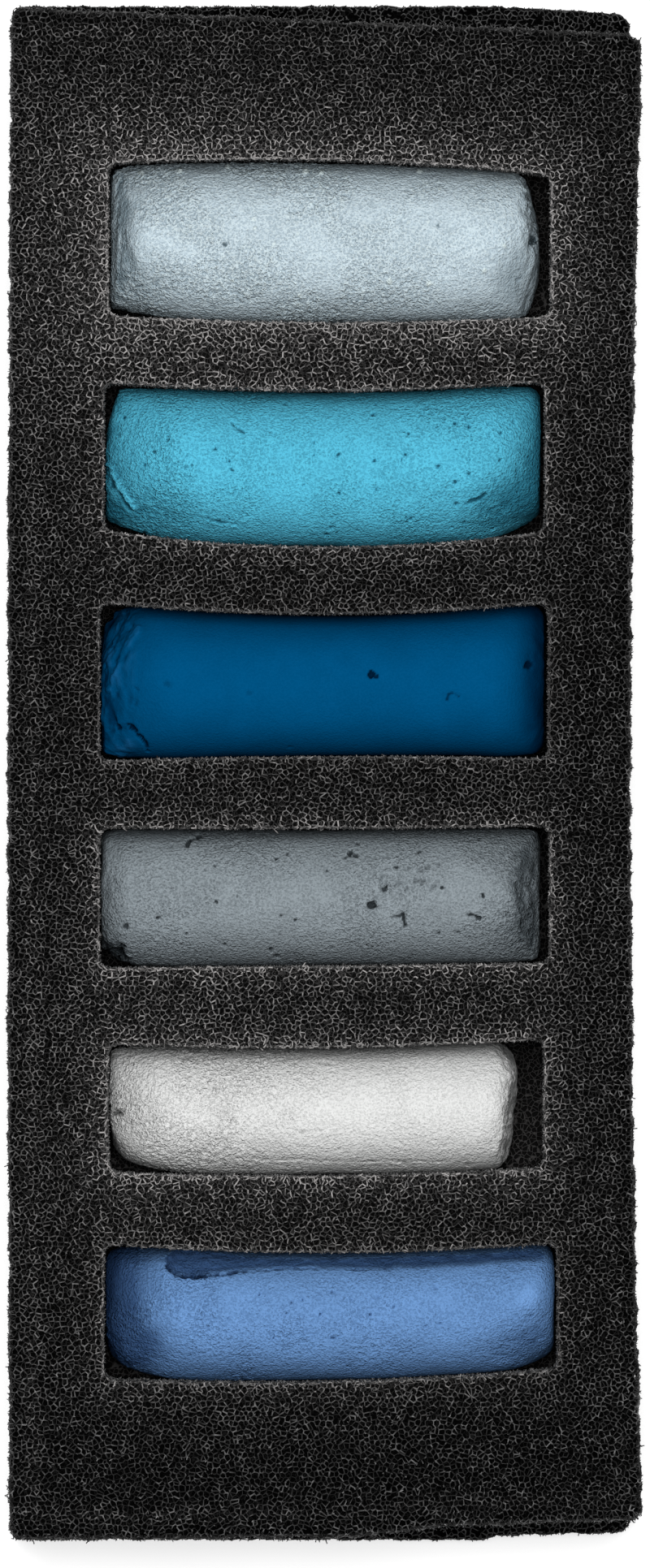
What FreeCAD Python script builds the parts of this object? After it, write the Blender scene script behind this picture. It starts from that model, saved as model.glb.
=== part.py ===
import FreeCAD, Part

import os
from collections import namedtuple

# A foam tray of six hand-rolled soft pastel half sticks, lying flat.
# Millimetres. Z is up, Y runs along the tray and X across it, which is the way the sticks lie.
# The origin is the middle of the tray's underside.

# --- driving dimensions -------------------------------------------------------------------
TRAY_WIDTH = 55.7
TRAY_LENGTH = 135.7
BASE_THICKNESS = 5.0
FILM_THICKNESS = 0.2
TOP_THICKNESS = 14.4

WINDOW_CORNER_RADIUS = 0.9
STICK_SIDE_CLEARANCE = 0.15
STICK_FLOOR_CLEARANCE = 0.1
FILM_EDGE_INSET = 1.0
FILM_WINDOW_INSET = 0.4

FILM_BOTTOM = BASE_THICKNESS
TOP_LAYER_BOTTOM = BASE_THICKNESS + FILM_THICKNESS
STICK_BOTTOM = BASE_THICKNESS + STICK_FLOOR_CLEARANCE

HALF_WIDTH = TRAY_WIDTH / 2
HALF_LENGTH = TRAY_LENGTH / 2

# The window that holds one stick, and the stick in it. The window's left and right walls are
# straight and lie at the X values given. Its upper and lower walls bow with the stick: each is an
# arc through three Y values, at the left wall, at mid length and at the right wall.
# height is the stick's own, and the end gaps are the free space between stick and end walls.
Slot = namedtuple("Slot", "node left right upper lower height left_gap right_gap")

SLOTS = [
    Slot("pastel_pale_grey", -19.1, 19.9, (53.7, 54.0, 52.7), (40.2, 39.6, 40.1), 12.9, 0.2, 1.0),
    Slot("pastel_turquoise", -19.5, 19.4, (34.4, 33.7, 34.5), (21.3, 19.85, 21.2), 12.6, 0.2, 0.4),
    Slot("pastel_deep_blue", -19.9, 19.7, (15.1, 14.05, 15.1), (1.0, 1.4, 1.2), 12.7, 0.2, 0.4),
    Slot("pastel_slate_grey", -19.9, 19.8, (-4.75, -4.85, -4.6), (-17.2, -17.05, -16.8), 12.2, 0.2, 0.9),
    Slot("pastel_white", -19.1, 19.3, (-23.8, -24.1, -23.4), (-35.2, -35.5, -34.8), 11.9, 0.2, 2.4),
    Slot("pastel_periwinkle", -19.5, 20.5, (-41.4, -42.15, -41.3), (-53.4, -53.65, -52.5), 11.8, 0.2, 0.3),
]

# Where a stick's sections stand, as the distance in from its end, and how large each one is
# against the stick's full section: a blunt end with a rounded rim.
END_PROFILE = [(0.0, 0.78), (0.25, 0.88), (0.9, 0.965), (2.2, 0.998), (4.5, 1.0)]
# Further sections, as fractions of the stick's length.
BODY_STATIONS = [0.25, 0.5, 0.75]


# --- outlines -----------------------------------------------------------------------------
def point(x, y, z=0.0):
    return FreeCAD.Vector(x, y, z)


def line(start, end):
    return Part.makeLine(point(*start), point(*end))


def arc(start, middle, end):
    return Part.Arc(point(*start), point(*middle), point(*end)).toShape()


def slab(edges, bottom, thickness):
    """A flat solid between two heights, from the closed outline made by the edges."""
    face = Part.Face(Part.Wire(edges))
    face.translate(point(0, 0, bottom))
    return face.extrude(point(0, 0, thickness))


def upright_edges(solid, places):
    """The solid's upright edges that stand at the given X, Y places."""
    found = []
    for edge in solid.Edges:
        low, high = edge.BoundBox.ZMin, edge.BoundBox.ZMax
        if high - low < 0.9 * solid.BoundBox.ZLength or edge.BoundBox.XLength > 1e-6:
            continue
        stands = point(edge.BoundBox.XMin, edge.BoundBox.YMin)
        if any(stands.distanceToPoint(point(x, y)) < 1e-3 for x, y in places):
            found.append(edge)
    return found


def rounded(solid, radius, places):
    return solid.makeFillet(radius, upright_edges(solid, places))


def arc_height(heights, left, right, x):
    """The Y of the arc through three heights, at left, half way and right, at the given X."""
    first, middle, last = heights
    position = (x - left) / (right - left)
    rise = middle - (first + last) / 2
    return first + (last - first) * position + 4 * rise * position * (1 - position)


# --- foam layers --------------------------------------------------------------------------
def window(slot, bottom, thickness, grow=0.0):
    """The block of space that one window takes out of a layer."""
    left, right = slot.left - grow, slot.right + grow
    middle = (left + right) / 2
    upper = [y + grow for y in slot.upper]
    lower = [y - grow for y in slot.lower]
    edges = [
        arc((left, upper[0]), (middle, upper[1]), (right, upper[2])),
        line((right, upper[2]), (right, lower[2])),
        arc((right, lower[2]), (middle, lower[1]), (left, lower[0])),
        line((left, lower[0]), (left, upper[0])),
    ]
    corners = [(left, upper[0]), (right, upper[2]), (right, lower[2]), (left, lower[0])]
    return rounded(slab(edges, bottom, thickness), WINDOW_CORNER_RADIUS + grow, corners)


def foam_base_layer():
    """The plain lower layer, cut a little longer than the top one at its right-hand corners."""
    top_left = (-27.5, HALF_LENGTH)
    top_bend = (15.0, HALF_LENGTH)
    top_right = (26.95, 67.2)
    bottom_right = (27.05, -67.2)
    cut_end = (15.1, -67.5)
    cut_start = (14.3, -HALF_LENGTH)
    bottom_left = (-HALF_WIDTH, -HALF_LENGTH)
    edges = [
        line(top_left, top_bend),
        line(top_bend, top_right),
        arc(top_right, (26.5, 0.0), bottom_right),
        line(bottom_right, cut_end),
        line(cut_end, cut_start),
        line(cut_start, bottom_left),
        line(bottom_left, top_left),
    ]
    solid = slab(edges, 0.0, BASE_THICKNESS)
    solid = rounded(solid, 1.4, [top_right, bottom_right])
    return rounded(solid, 1.0, [top_left, bottom_left])


def foam_top_layer():
    """The thick upper layer, with six windows through it. Its right edge bows in."""
    top_left = (-27.55, 67.3)
    top_right = (27.8, 65.0)
    bottom_right = (HALF_WIDTH, -65.7)
    bottom_bend = (11.0, -66.2)
    bottom_break = (2.0, -67.2)
    bottom_left = (-27.7, -67.4)
    edges = [
        line(top_left, top_right),
        arc(top_right, (26.85, -1.0), bottom_right),
        line(bottom_right, bottom_bend),
        line(bottom_bend, bottom_break),
        line(bottom_break, bottom_left),
        arc(bottom_left, (-HALF_WIDTH, 0.0), top_left),
    ]
    solid = slab(edges, TOP_LAYER_BOTTOM, TOP_THICKNESS)
    solid = rounded(solid, 1.5, [top_right])
    solid = rounded(solid, 0.8, [top_left, bottom_right, bottom_left])
    for slot in SLOTS:
        solid = solid.cut(window(slot, TOP_LAYER_BOTTOM, TOP_THICKNESS))
    return solid


def adhesive_film():
    """The film that bonds the two layers. It stops short of the edges and of the windows."""
    right = 26.5 - FILM_EDGE_INSET
    left = -27.5 + FILM_EDGE_INSET
    upper = 65.0 - FILM_EDGE_INSET
    lower = -65.7 + FILM_EDGE_INSET
    edges = [
        line((left, upper), (right, upper)),
        line((right, upper), (right, lower)),
        line((right, lower), (left, lower)),
        line((left, lower), (left, upper)),
    ]
    solid = slab(edges, FILM_BOTTOM, FILM_THICKNESS)
    for slot in SLOTS:
        solid = solid.cut(window(slot, FILM_BOTTOM, FILM_THICKNESS, FILM_WINDOW_INSET))
    return solid


# --- pastel sticks ------------------------------------------------------------------------
def section(slot, x, size):
    """One upright oval section of a stick, as wide as its window allows at that place."""
    upper = arc_height(slot.upper, slot.left, slot.right, x) - STICK_SIDE_CLEARANCE
    lower = arc_height(slot.lower, slot.left, slot.right, x) + STICK_SIDE_CLEARANCE
    stretch = FreeCAD.Matrix()
    stretch.scale(1.0, (upper - lower) / 2 * size, slot.height / 2 * size)
    oval = Part.makeCircle(1.0, point(0, 0), point(1, 0)).transformGeometry(stretch)
    oval.translate(point(x, (upper + lower) / 2, STICK_BOTTOM + slot.height / 2))
    return Part.Wire([oval])


def stick(slot):
    """A hand-rolled stick: oval sections along its length, blunt rounded ends."""
    left = slot.left + slot.left_gap
    right = slot.right - slot.right_gap
    length = right - left
    sections = [section(slot, left + inset, size) for inset, size in END_PROFILE]
    sections += [section(slot, left + length * share, 1.0) for share in BODY_STATIONS]
    sections += [section(slot, right - inset, size) for inset, size in reversed(END_PROFILE)]
    return Part.makeLoft(sections, True)


# --- the assembly -------------------------------------------------------------------------
def main():
    nodes = {
        "foam_base_layer": foam_base_layer(),
        "adhesive_film": adhesive_film(),
        "foam_top_layer": foam_top_layer(),
    }
    for slot in SLOTS:
        nodes[slot.node] = stick(slot)
    os.makedirs("parts", exist_ok=True)
    for name, shape in nodes.items():
        shape.exportStep("parts/" + name + ".step")


main()
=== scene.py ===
import math

import bpy
import numpy as np
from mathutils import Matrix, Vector
from mathutils.geometry import delaunay_2d_cdt


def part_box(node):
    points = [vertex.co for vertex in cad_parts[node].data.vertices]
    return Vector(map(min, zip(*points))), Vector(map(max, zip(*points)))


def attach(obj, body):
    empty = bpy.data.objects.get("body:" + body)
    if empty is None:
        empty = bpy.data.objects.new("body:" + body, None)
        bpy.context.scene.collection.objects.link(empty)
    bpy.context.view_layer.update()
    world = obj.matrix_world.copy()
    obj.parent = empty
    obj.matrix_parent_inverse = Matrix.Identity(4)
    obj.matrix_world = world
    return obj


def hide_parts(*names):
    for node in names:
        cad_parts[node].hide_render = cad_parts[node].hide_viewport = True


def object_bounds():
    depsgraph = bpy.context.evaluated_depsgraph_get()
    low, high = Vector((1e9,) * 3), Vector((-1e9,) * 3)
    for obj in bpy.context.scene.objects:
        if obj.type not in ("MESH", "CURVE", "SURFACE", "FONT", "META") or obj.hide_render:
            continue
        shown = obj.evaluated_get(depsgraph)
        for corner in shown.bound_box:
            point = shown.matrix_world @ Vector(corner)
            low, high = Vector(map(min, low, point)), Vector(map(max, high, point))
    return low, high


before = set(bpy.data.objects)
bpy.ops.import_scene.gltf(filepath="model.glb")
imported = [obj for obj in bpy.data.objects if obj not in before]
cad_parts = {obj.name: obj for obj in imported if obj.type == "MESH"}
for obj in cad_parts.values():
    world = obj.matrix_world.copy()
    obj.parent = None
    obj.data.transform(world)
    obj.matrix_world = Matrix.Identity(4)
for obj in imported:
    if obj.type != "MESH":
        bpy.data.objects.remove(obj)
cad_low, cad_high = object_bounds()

# A foam tray of six soft pastel half sticks, seen from straight above on a white table.
# Lengths are in millimetres, which MM turns into metres. Only the table, the lamp and the
# camera's range are given in metres.
MM = 0.001
SEED = 7


def node_box(node):
    """A CAD node's lowest and highest corners, in millimetres."""
    low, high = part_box(node)
    return np.array(low) / MM, np.array(high) / MM


def clamp(numbers):
    """The same numbers held between 0 and 1."""
    return np.clip(numbers, 0, 1)


def lengths(vectors):
    """The length of each row."""
    return np.linalg.norm(vectors, axis=1)


# --- noise ---
def lattice_random(cell, seed):
    """A fixed random number from 0 to 1 for each row of whole numbers."""
    primes = np.array([73856093, 19349663, 83492791], np.int64)
    mixed = (cell.astype(np.int64) * primes[: cell.shape[1]]).sum(1) + seed * 2654435761
    mixed = (mixed ^ (mixed >> 13)) * 1274126177 & 0x7FFFFFFF
    mixed = (mixed ^ (mixed >> 15)) * 668265263 & 0x7FFFFFFF
    mixed = mixed ^ (mixed >> 11)
    return (mixed & 0xFFFFF) / float(0x100000)


def smooth_noise(points, size, seed):
    """Smooth random heights from -1 to 1, with hills about size across."""
    scaled = points / size
    cell = np.floor(scaled).astype(np.int64)
    part = scaled - cell
    ease = part * part * (3 - 2 * part)
    total = np.zeros(len(points))
    for corner in np.ndindex(*(2,) * points.shape[1]):
        step = np.array(corner)
        weight = np.where(step, ease, 1 - ease).prod(1)
        total += weight * lattice_random(cell + step, seed)
    return 2 * total - 1


def rough_noise(points, size, seed, layers=3):
    """Several sizes of smooth noise together, from about -1 to 1."""
    total = np.zeros(len(points))
    share = 1.0
    for layer in range(layers):
        total += share * smooth_noise(points + 17.3 * layer, size / 2**layer, seed + layer)
        share *= 0.55
    return total / 1.6


def grains(points, size, seed):
    """How near each point is to one of many scattered grains: 1 at it, 0 between them."""
    scaled = points / size
    cell = np.floor(scaled).astype(np.int64)
    nearest = np.full(len(points), 9.0)
    for corner in np.ndindex(3, 3, 3):
        other = cell + np.array(corner) - 1
        centre = other + np.stack([lattice_random(other, seed + k) for k in range(3)], 1)
        nearest = np.minimum(nearest, ((scaled - centre) ** 2).sum(1))
    return clamp(1 - np.sqrt(nearest))


# --- meshes ---
def add_object(name, data):
    """A new object in the scene."""
    thing = bpy.data.objects.new(name, data)
    bpy.context.scene.collection.objects.link(thing)
    return thing


def make_piece(name, vertices, faces, material, body, values, chart=None):
    """A mesh object from millimetre points and faces of three or four corners, on its body.

    chart is each point's place on a flat map of the surface."""
    mesh = bpy.data.meshes.new(name)
    corners = faces.shape[1]
    mesh.vertices.add(len(vertices))
    mesh.vertices.foreach_set("co", (vertices * MM).astype(np.float32).ravel())
    mesh.loops.add(faces.size)
    mesh.loops.foreach_set("vertex_index", faces.astype(np.int32).ravel())
    mesh.polygons.add(len(faces))
    mesh.polygons.foreach_set("loop_start", np.arange(0, faces.size, corners, dtype=np.int32))
    for value_name, numbers in values.items():
        layer = mesh.attributes.new(value_name, "FLOAT", "POINT")
        layer.data.foreach_set("value", numbers.astype(np.float32))
    if chart is not None:
        layer = mesh.uv_layers.new(name="OFBake")
        low, size = chart.min(0), np.ptp(chart, axis=0).max()
        spread = ((chart - low) / size)[faces.ravel()]
        layer.data.foreach_set("uv", spread.astype(np.float32).ravel())
    mesh.update(calc_edges=True)
    mesh.validate()
    mesh.polygons.foreach_set("use_smooth", np.full(len(mesh.polygons), True))
    mesh.materials.append(material)
    piece = add_object(name, mesh)
    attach(piece, body)
    return piece


def tubes(starts, ends, start_radii, end_radii):
    """Thin three-sided struts, one for each start and end point."""
    along = ends - starts
    along /= np.maximum(lengths(along), 1e-9)[:, None]
    helper = np.where(np.abs(along[:, 2:3]) < 0.8, [[0.0, 0.0, 1.0]], [[1.0, 0.0, 0.0]])
    side = np.cross(along, helper)
    side /= lengths(side)[:, None]
    other = np.cross(along, side)
    rings = []
    for centre, radii in ((starts, start_radii), (ends, end_radii)):
        for corner in range(3):
            angle = 2 * math.pi * corner / 3 + math.pi / 2
            spoke = math.cos(angle) * side + math.sin(angle) * other
            rings.append(centre + spoke * radii[:, None])
    vertices = np.stack(rings, 1).reshape(-1, 3)
    first = np.arange(len(starts))[:, None] * 6
    faces = [first + np.array([[k, (k + 1) % 3, (k + 1) % 3 + 3, k + 3]]) for k in range(3)]
    return vertices, np.concatenate(faces)


# --- the foam's outlines, read from the CAD model ---
def top_outlines(node):
    """The closed outlines of a node's top face, largest first, then from +Y to -Y."""
    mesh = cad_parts[node].data
    points = np.array([v.co for v in mesh.vertices]) / MM
    keys = [tuple(k) for k in np.round(points[:, :2], 4).tolist()]
    level = points[:, 2].max() - 0.001
    sides = set()
    for face in mesh.polygons:
        corners = list(face.vertices)
        if all(points[c, 2] > level for c in corners):
            for a, b in zip(corners, corners[1:] + corners[:1]):
                side = (keys[a], keys[b])
                if side[::-1] in sides:
                    sides.remove(side[::-1])
                else:
                    sides.add(side)
    following = dict(sides)
    loops = []
    while following:
        start, here = following.popitem()
        loop = [start]
        while here != start:
            loop.append(here)
            here = following.pop(here)
        loops.append(np.array(loop))
    loops.sort(key=lambda loop: -np.ptp(loop[:, 1]))
    return loops[:1] + sorted(loops[1:], key=lambda loop: -loop[:, 1].mean())


def closed_up(loop):
    """An outline with its first point added at the end, and how far round each point is."""
    closed = np.vstack([loop, loop[:1]])
    return closed, np.r_[0, np.cumsum(lengths(np.diff(closed, axis=0)))]


def resampled(loop, spacing):
    """The same closed outline with evenly spaced points."""
    closed, round_to = closed_up(loop)
    count = int(round(round_to[-1] / spacing))
    at = np.arange(count) * round_to[-1] / count
    return np.stack([np.interp(at, round_to, row) for row in closed.T], 1)


def inside(points, loop):
    """Which points lie within a closed outline."""
    found = np.zeros(len(points), bool)
    for (ax, ay), (bx, by) in zip(loop, np.roll(loop, -1, 0)):
        if ay != by:
            crosses = (points[:, 1] < ay) != (points[:, 1] < by)
            found ^= crosses & (points[:, 0] < (bx - ax) * (points[:, 1] - ay) / (by - ay) + ax)
    return found


def within(points, loops):
    """Which points lie within the first outline and in none of the others."""
    found = inside(points, loops[0])
    for loop in loops[1:]:
        found &= ~inside(points, loop)
    return found


def distance(points, line, closed=True):
    """How far each point is from a closed outline, or from an open line."""
    nearest = np.full(len(points), 1e9)
    for a, b in zip(line, np.roll(line, -1, 0) if closed else line[1:]):
        run = b - a
        share = clamp((points - a) @ run / max(run @ run, 1e-12))
        nearest = np.minimum(nearest, ((points - a - share[:, None] * run) ** 2).sum(1))
    return np.sqrt(nearest)


class Outline:
    """A closed outline that can be followed round, with the foam on its left-hand side."""

    def __init__(self, loop):
        self.points = resampled(loop, 0.5)
        self.closed, self.at = closed_up(self.points)
        self.length = self.at[-1]
        run = np.roll(self.points, -1, 0) - np.roll(self.points, 1, 0)
        run /= lengths(run)[:, None]
        outward = np.stack([run[:, 1], -run[:, 0]], 1)
        self.outward = np.vstack([outward, outward[:1]])

    def follow(self, along):
        """The points this far round the outline, and the directions out of the foam."""
        along = along % self.length
        place, out = (np.stack([np.interp(along, self.at, row) for row in rows.T], 1)
                      for rows in (self.closed, self.outward))
        return place, out / lengths(out)[:, None]


def shrunk(loop, inset):
    """An outline moved into the foam by the inset."""
    outline = Outline(loop)
    return outline.points - outline.outward[:-1] * inset


TOP_LOOPS = top_outlines("foam_top_layer")
BASE_LOOP = top_outlines("foam_base_layer")[0]
WINDOWS = TOP_LOOPS[1:]
TOP_LOW, TOP_HIGH = node_box("foam_top_layer")
BASE_LOW, BASE_HIGH = node_box("foam_base_layer")

# --- the foam's struts ---
CELL, SIDE_CELL, WINDOW_CELL = 0.48, 0.68, 0.52  # the cells of the top, the sides, the windows
JITTER, DRIFT = 0.47, 0.12  # how far a cell strays from its even place, alone and with others
STRUT = 0.057  # a strut's radius
SUNK = 0.34  # how deep below the cut face the deepest of the front struts lie
BRIGHT, BROKEN = 0.3, 0.05  # the shares of bright corners, which are painted glints of struts that catch the light, and of missing struts
WINDOW_DEPTH = 9.0  # how far down the window walls are made of struts
EDGE_LIGHT, EDGE_REACH = 0.2, 1.3  # painted light: how much lighter the struts are at the tray's edge, where the white surroundings light them
END_SHADE, END_START, END_REACH = 0.2, 57.0, 5.0  # how much darker they are at its two ends


def random_cells(low, high, cell, seed, wrap=0.0, wanted=None):
    """The corners of random cells over a rectangle, and the pairs of corners that struts join.

    With wrap, the cells carry on round an outline of that length. wanted picks the cells."""
    rng = np.random.default_rng(seed)
    low, high = np.array(low, float), np.array(high, float)
    step = np.array([cell, cell * math.sqrt(3) / 2])
    columns, rows = np.ceil((high - low) / step).astype(int)
    column, row = np.meshgrid(np.arange(columns), np.arange(rows), indexing="ij")
    seeds = np.stack([column + (row % 2) / 2, row], -1).reshape(-1, 2) * step + low
    seeds = seeds + rng.uniform(-JITTER, JITTER, seeds.shape) * step
    drift = np.stack([smooth_noise(seeds, 3.6 * cell, seed + k) for k in range(2)], 1)
    drift += 0.6 * np.stack([smooth_noise(seeds, 7.9 * cell, seed + 2 + k) for k in range(2)], 1)
    seeds = seeds + DRIFT * cell * drift
    if wanted is not None:
        seeds = seeds[wanted(seeds)]
    if wrap:
        margin = 3 * cell
        seeds = seeds[seeds[:, 0] < low[0] + wrap]
        after = seeds[seeds[:, 0] < low[0] + margin] + [wrap, 0]
        before = seeds[seeds[:, 0] > low[0] + wrap - margin] - [wrap, 0]
        seeds = np.vstack([seeds, before, after])
    made = delaunay_2d_cdt([Vector(p) for p in seeds], [], [], 0, 1e-9)
    points = np.array([(v.x, v.y) for v in made[0]])
    triangles = np.array(made[2])
    first, second, third = (points[triangles[:, k]] for k in range(3))
    to_second, to_third = second - first, third - first
    area = 2 * (to_second[:, 0] * to_third[:, 1] - to_second[:, 1] * to_third[:, 0])
    area = np.where(np.abs(area) < 1e-6, 1e-6, area)
    second_square, third_square = (to_second**2).sum(1), (to_third**2).sum(1)
    centre = np.stack([to_third[:, 1] * second_square - to_second[:, 1] * third_square,
                       to_second[:, 0] * third_square - to_third[:, 0] * second_square], 1)
    centre = centre / area[:, None] + first
    middle = (first + second + third) / 3
    shift = centre - middle
    length = lengths(shift)
    corners = middle + shift * np.minimum(0.85, 0.6 * cell / np.maximum(length, 1e-9))[:, None]
    sides = np.concatenate([triangles[:, [0, 1]], triangles[:, [1, 2]], triangles[:, [2, 0]]])
    sides = np.sort(sides, 1)
    owner = np.tile(np.arange(len(triangles)), 3)
    order = np.lexsort((sides[:, 1], sides[:, 0]))
    sides, owner = sides[order], owner[order]
    same = (sides[1:] == sides[:-1]).all(1)
    pairs = np.stack([owner[:-1][same], owner[1:][same]], 1)
    if wrap:
        across = corners[pairs].mean(1)[:, 0] - low[0]
        pairs = pairs[(across >= 0) & (across < wrap)]
    return corners, pairs


# Dust by each window, from the first stick to the last: right at the rim, and further out.
DUST = [(0.44, 0.37), (0.17, 0.07), (0.08, 0.03), (0.25, 0.06), (0.30, 0.13), (0.12, 0.04)]
RIM_REACH, WIDE_REACH = 1.0, 4.8
BELOW_STICK_GAIN = 0.55  # how much more the rim lightens below a stick
DUST_LEAN = 0.018  # how much more of it lies to the left, per millimetre
EDGE_LINE_LIGHT, STREAK_INSET, STREAK_WIDTH = 0.05, 2.0, 0.7  # a painted pale line of light inside the tray's edge, where the white surroundings light the foam


def dust_and_light_at(points):
    """How much pastel dust lies on the foam at these places, from 0 to 1, with a painted pale
    line of light inside the tray's edge added to it.
    """
    amount = np.zeros(len(points))
    for loop, (close, wide) in zip(WINDOWS, DUST):
        away = distance(points, resampled(loop, 2.0))
        below = clamp(loop[:, 1].min() + 1.0 - points[:, 1])
        amount += close * (1 + BELOW_STICK_GAIN * below) * np.exp(-away / RIM_REACH)
        amount += wide * (1 - DUST_LEAN * points[:, 0]) * np.exp(-away / WIDE_REACH)
    # A painted pale line of light inside the tray's edge is added to the dust.
    streak = distance(points, resampled(TOP_LOOPS[0], 2.0)) - STREAK_INSET
    streak = EDGE_LINE_LIGHT * np.exp(-((streak / STREAK_WIDTH) ** 2))
    return amount + streak * (1 - DUST_LEAN * points[:, 0])


def net_over(place, cells, keep, cell, seed, inward, stubs, lift=0.0):
    """A net of struts over a surface, as columns: starts, ends, both radii, both tones, flat.

    place(flat, out) gives the surface's points, and keep(flat) picks the corners of the net.
    inward and stubs are the shares of corners with a strut into the foam and with a loose one
    that stands out of it. lift lightens the net with painted light. The tones carry painted
    glints, and painted shade for struts deeper in the foam."""
    rng = np.random.default_rng(seed)
    corners, pairs = cells
    count = len(corners)
    out = -SUNK * rng.random(count) ** 1.6 + 0.03
    bright = rng.random(count) < BRIGHT
    # Bright corners are painted glints of struts that catch the light, and struts lower below
    # the cut face are darkened with painted shade.
    tone_and_shading = np.where(bright, rng.uniform(0.5, 1.1, count), rng.uniform(0.0, 0.20, count))
    tone_and_shading *= np.clip(1 + out / 0.36, 0.08, 1)
    places = place(corners, out)
    kept = keep(corners)
    length = lengths(places[pairs[:, 0]] - places[pairs[:, 1]])
    whole = kept[pairs].all(1) & (length < 2.4 * cell) & (length > 0.03)
    whole &= rng.random(len(pairs)) > BROKEN
    a, b = pairs[whole].T
    thick = rng.uniform(0.6, 1.4, len(a)) * STRUT
    own = rng.uniform(0.3, 1.0, len(a))
    parts = [(places[a], places[b], thick, thick * rng.uniform(0.75, 1.1, len(a)),
              tone_and_shading[a] * own + lift, tone_and_shading[b] * own + lift, corners[a])]
    found = np.flatnonzero(kept & (rng.random(count) < inward))
    slip = rng.normal(0, 0.14, (len(found), 2))
    deep = place(corners[found] + slip, out[found] - rng.uniform(0.35, 0.65, len(found)))
    thick = np.full(len(found), STRUT)
    # Struts into the foam fade to near black at their deep ends: painted shade.
    parts.append((places[found], deep, thick * 0.95, thick, tone_and_shading[found] * 0.8 + lift,
                  tone_and_shading[found] * 0.1, corners[found]))
    found = np.flatnonzero(kept & (rng.random(count) < stubs))
    slip = rng.normal(0, 0.10, (len(found), 2))
    reach = rng.uniform(0.05, 0.24, len(found))
    tips = place(corners[found] + slip, out[found] + reach)
    thick = rng.uniform(0.8, 1.3, len(found)) * STRUT
    # Loose struts grow lighter towards their tips, out of the foam: painted light.
    parts.append((places[found], tips, thick, thick * 0.6, tone_and_shading[found] + 0.25 + lift,
                  tone_and_shading[found] + 0.6 + lift, corners[found]))
    return [np.concatenate(column) for column in zip(*parts)]


def make_net(name, net, chosen=None):
    """One piece of foam struts, with their tone and their dust. The tone also carries painted
    light and shade, and the dust painted light.
    """
    if chosen is not None:
        some = chosen(net[0])
        net = [column[some] for column in net]
    starts, ends, start_radii, end_radii, start_tones, end_tones, flat = net
    vertices, faces = tubes(starts, ends, start_radii, end_radii)
    rng = np.random.default_rng(SEED + 72)
    cluster_light_and_shade = 0.95 + 0.2 * smooth_noise(starts, 0.9, SEED + 70)
    cluster_light_and_shade += 0.2 * smooth_noise(starts, 4.0, SEED + 71)
    # Painted light on struts near the tray's outer edge, and painted shade towards its two ends.
    rim = clamp(1 - distance(starts[:, :2], TOP_LOOPS[0]) / EDGE_REACH)
    cluster_light_and_shade *= np.where(starts[:, 2] > TOP_LOW[2], 1 + EDGE_LIGHT * rim, 1.0)
    cluster_light_and_shade *= 1 - END_SHADE * clamp((np.abs(starts[:, 1]) - END_START) / END_REACH)
    tone_and_shading = np.stack([start_tones] * 3 + [end_tones] * 3, 1) * cluster_light_and_shade[:, None]
    depth = clamp((TOP_HIGH[2] - vertices[:, 2]) / 2.5)
    spotty = 0.8 * rng.uniform(0.0, 2.0, len(starts)) ** 2.2
    dust_and_light = (dust_and_light_at(starts[:, :2]) * spotty).repeat(6) * (1 - depth) ** 2
    values = {"tone_and_shading": clamp(tone_and_shading).ravel(), "dust_and_light": dust_and_light}
    make_piece(name, vertices, faces, STRUTS, "tray", values, flat.repeat(6, 0))


def surface_height(points):
    """How far the cut top face of the foam rises and sinks."""
    return 0.10 * rough_noise(points, 9.0, SEED) - 0.08


def ragged(places):
    """How far the cells along the tray's cut edges stand in or out."""
    return np.stack([0.13 * smooth_noise(places, 0.6, SEED + 80 + k)
                     + 0.07 * smooth_noise(places, 2.4, SEED + 82 + k) for k in range(2)], 1)


def top_net():
    """The struts of the top face."""
    def off_windows(flat, loops, margin):
        return np.all([~inside(flat, loop) | (distance(flat, loop) < margin)
                       for loop in loops], 0)

    coarse = [resampled(loop, 1.0) for loop in WINDOWS]
    cells = random_cells(TOP_LOW[:2] - 0.6, TOP_HIGH[:2] + 0.6, CELL, SEED + 10,
                         wanted=lambda flat: off_windows(flat, coarse, 1.2))

    def place(flat, out):
        return np.column_stack([flat, TOP_HIGH[2] + out + surface_height(flat)])

    def keep(flat):
        torn = flat + ragged(flat)
        kept = inside(torn, TOP_LOOPS[0]) | (distance(torn, TOP_LOOPS[0]) < 0.12)
        return kept & off_windows(flat, WINDOWS, 0.12)

    return net_over(place, cells, keep, CELL, SEED + 11, 0.4, 0.26)


def ledge_net():
    """The struts of the base layer's rim, where the top layer does not cover it."""
    covered, hidden = shrunk(TOP_LOOPS[0], 0.5), shrunk(TOP_LOOPS[0], 1.6)
    cells = random_cells(BASE_LOW[:2] - 0.4, BASE_HIGH[:2] + 0.4, CELL, SEED + 12,
                         wanted=lambda flat: ~inside(flat, hidden))

    def place(flat, out):
        return np.column_stack([flat, BASE_HIGH[2] + out * 0.6 - 0.02])

    def keep(flat):
        kept = inside(flat, BASE_LOOP) | (distance(flat, BASE_LOOP) < 0.05)
        return kept & ~inside(flat, covered)

    # The base's rim is lightened with painted light, for the light that falls on it beside the
    # top layer.
    return net_over(place, cells, keep, CELL, SEED + 13, 0.3, 0.0, lift=0.24)


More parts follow.
